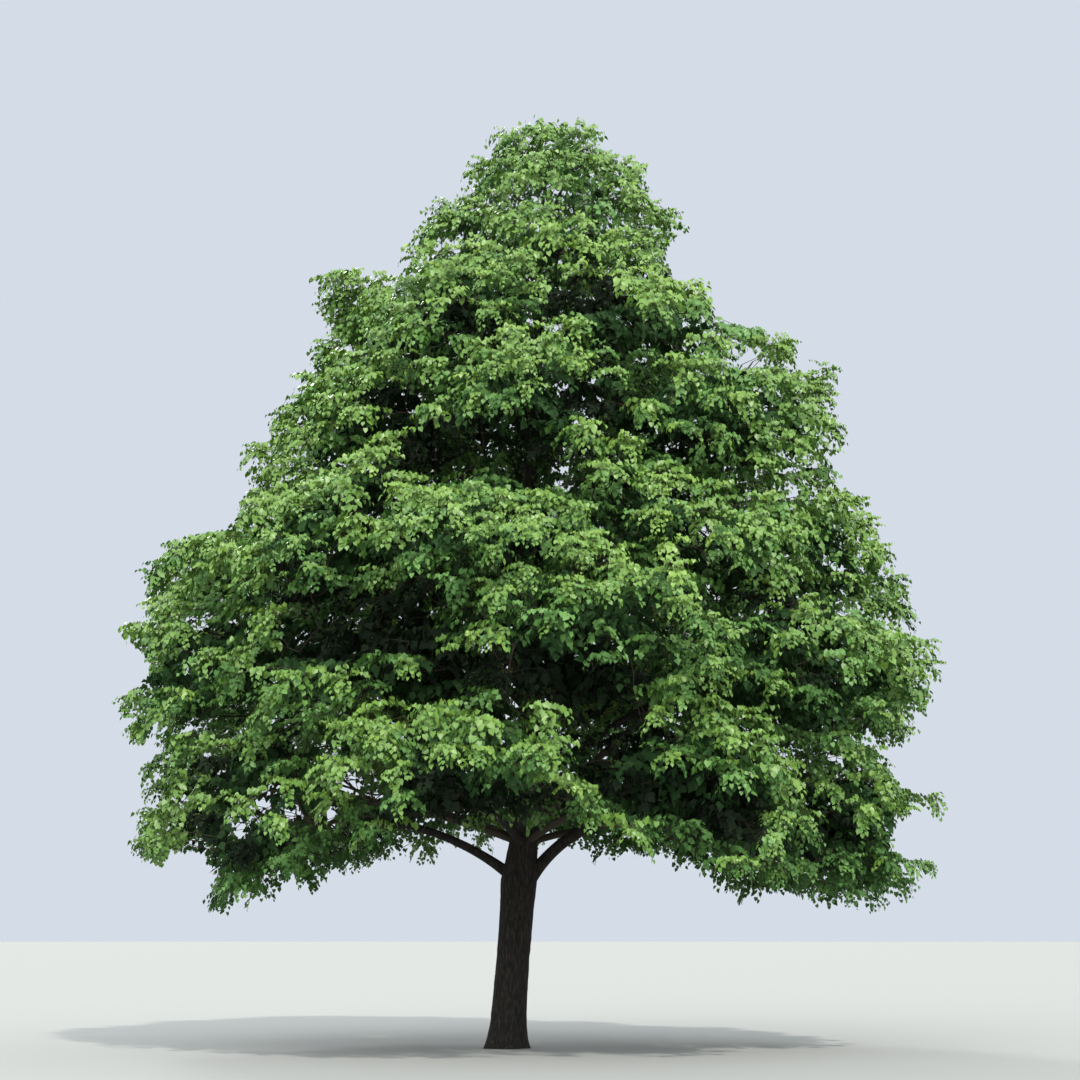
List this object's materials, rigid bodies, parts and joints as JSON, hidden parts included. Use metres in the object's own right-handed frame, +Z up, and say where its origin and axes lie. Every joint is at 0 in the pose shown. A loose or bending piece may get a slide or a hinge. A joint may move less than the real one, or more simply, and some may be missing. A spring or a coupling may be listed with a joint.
{
  "type": "small-leaved linden tree",
  "caption": "Free-standing small-leaved linden with a short bare trunk, low spreading boughs and a broad conical crown of layered, drooping foliage, rooted in the ground.",
  "frame": {"origin": "middle of the flat cut under the trunk, at ground level", "axes": "+Z straight up along the height of the tree, -Y towards the side it is mostly seen from, +X to the right from there"},
  "size_m": [12.34, 11.4521, 14],
  "materials": {
    "bark": "matt, dark grey-brown, finely fissured bark",
    "foliage": "fresh green summer leaves, satin above and duller below"
  },
  "bodies": {
    "root": {"bough_lower_1": "bark", "bough_lower_3": "bark", "bough_lower_5": "bark", "bough_lower_7": "bark", "bough_middle_2": "bark", "bough_middle_5": "bark", "bough_middle_7": "bark", "bough_skirt_1": "bark", "bough_skirt_3": "bark", "bough_skirt_5": "bark", "bough_skirt_7": "bark", "bough_upper_2": "bark", "bough_upper_4": "bark", "bough_waist_2": "bark", "bough_waist_5": "bark", "foliage_crest_1": "foliage", "foliage_crest_2": "foliage", "foliage_crest_3": "foliage", "foliage_lower_1": "foliage", "foliage_lower_2": "foliage", "foliage_lower_3": "foliage", "foliage_lower_4": "foliage", "foliage_lower_5": "foliage", "foliage_lower_6": "foliage", "foliage_lower_7": "foliage", "foliage_lower_8": "foliage", "foliage_middle_1": "foliage", "foliage_middle_2": "foliage", "foliage_middle_3": "foliage", "foliage_middle_4": "foliage", "foliage_middle_5": "foliage", "foliage_middle_6": "foliage", "foliage_middle_7": "foliage", "foliage_middle_8": "foliage", "foliage_shoulder_1": "foliage", "foliage_shoulder_2": "foliage", "foliage_shoulder_3": "foliage", "foliage_shoulder_4": "foliage", "foliage_skirt_1": "foliage", "foliage_skirt_2": "foliage", "foliage_skirt_3": "foliage", "foliage_skirt_4": "foliage", "foliage_skirt_5": "foliage", "foliage_skirt_6": "foliage", "foliage_skirt_7": "foliage", "foliage_skirt_8": "foliage", "foliage_top": "foliage", "foliage_upper_1": "foliage", "foliage_upper_2": "foliage", "foliage_upper_3": "foliage", "foliage_upper_4": "foliage", "foliage_upper_5": "foliage", "foliage_waist_1": "foliage", "foliage_waist_2": "foliage", "foliage_waist_3": "foliage", "foliage_waist_4": "foliage", "foliage_waist_5": "foliage", "foliage_waist_6": "foliage", "trunk": "bark"}
  },
  "joints": []
}
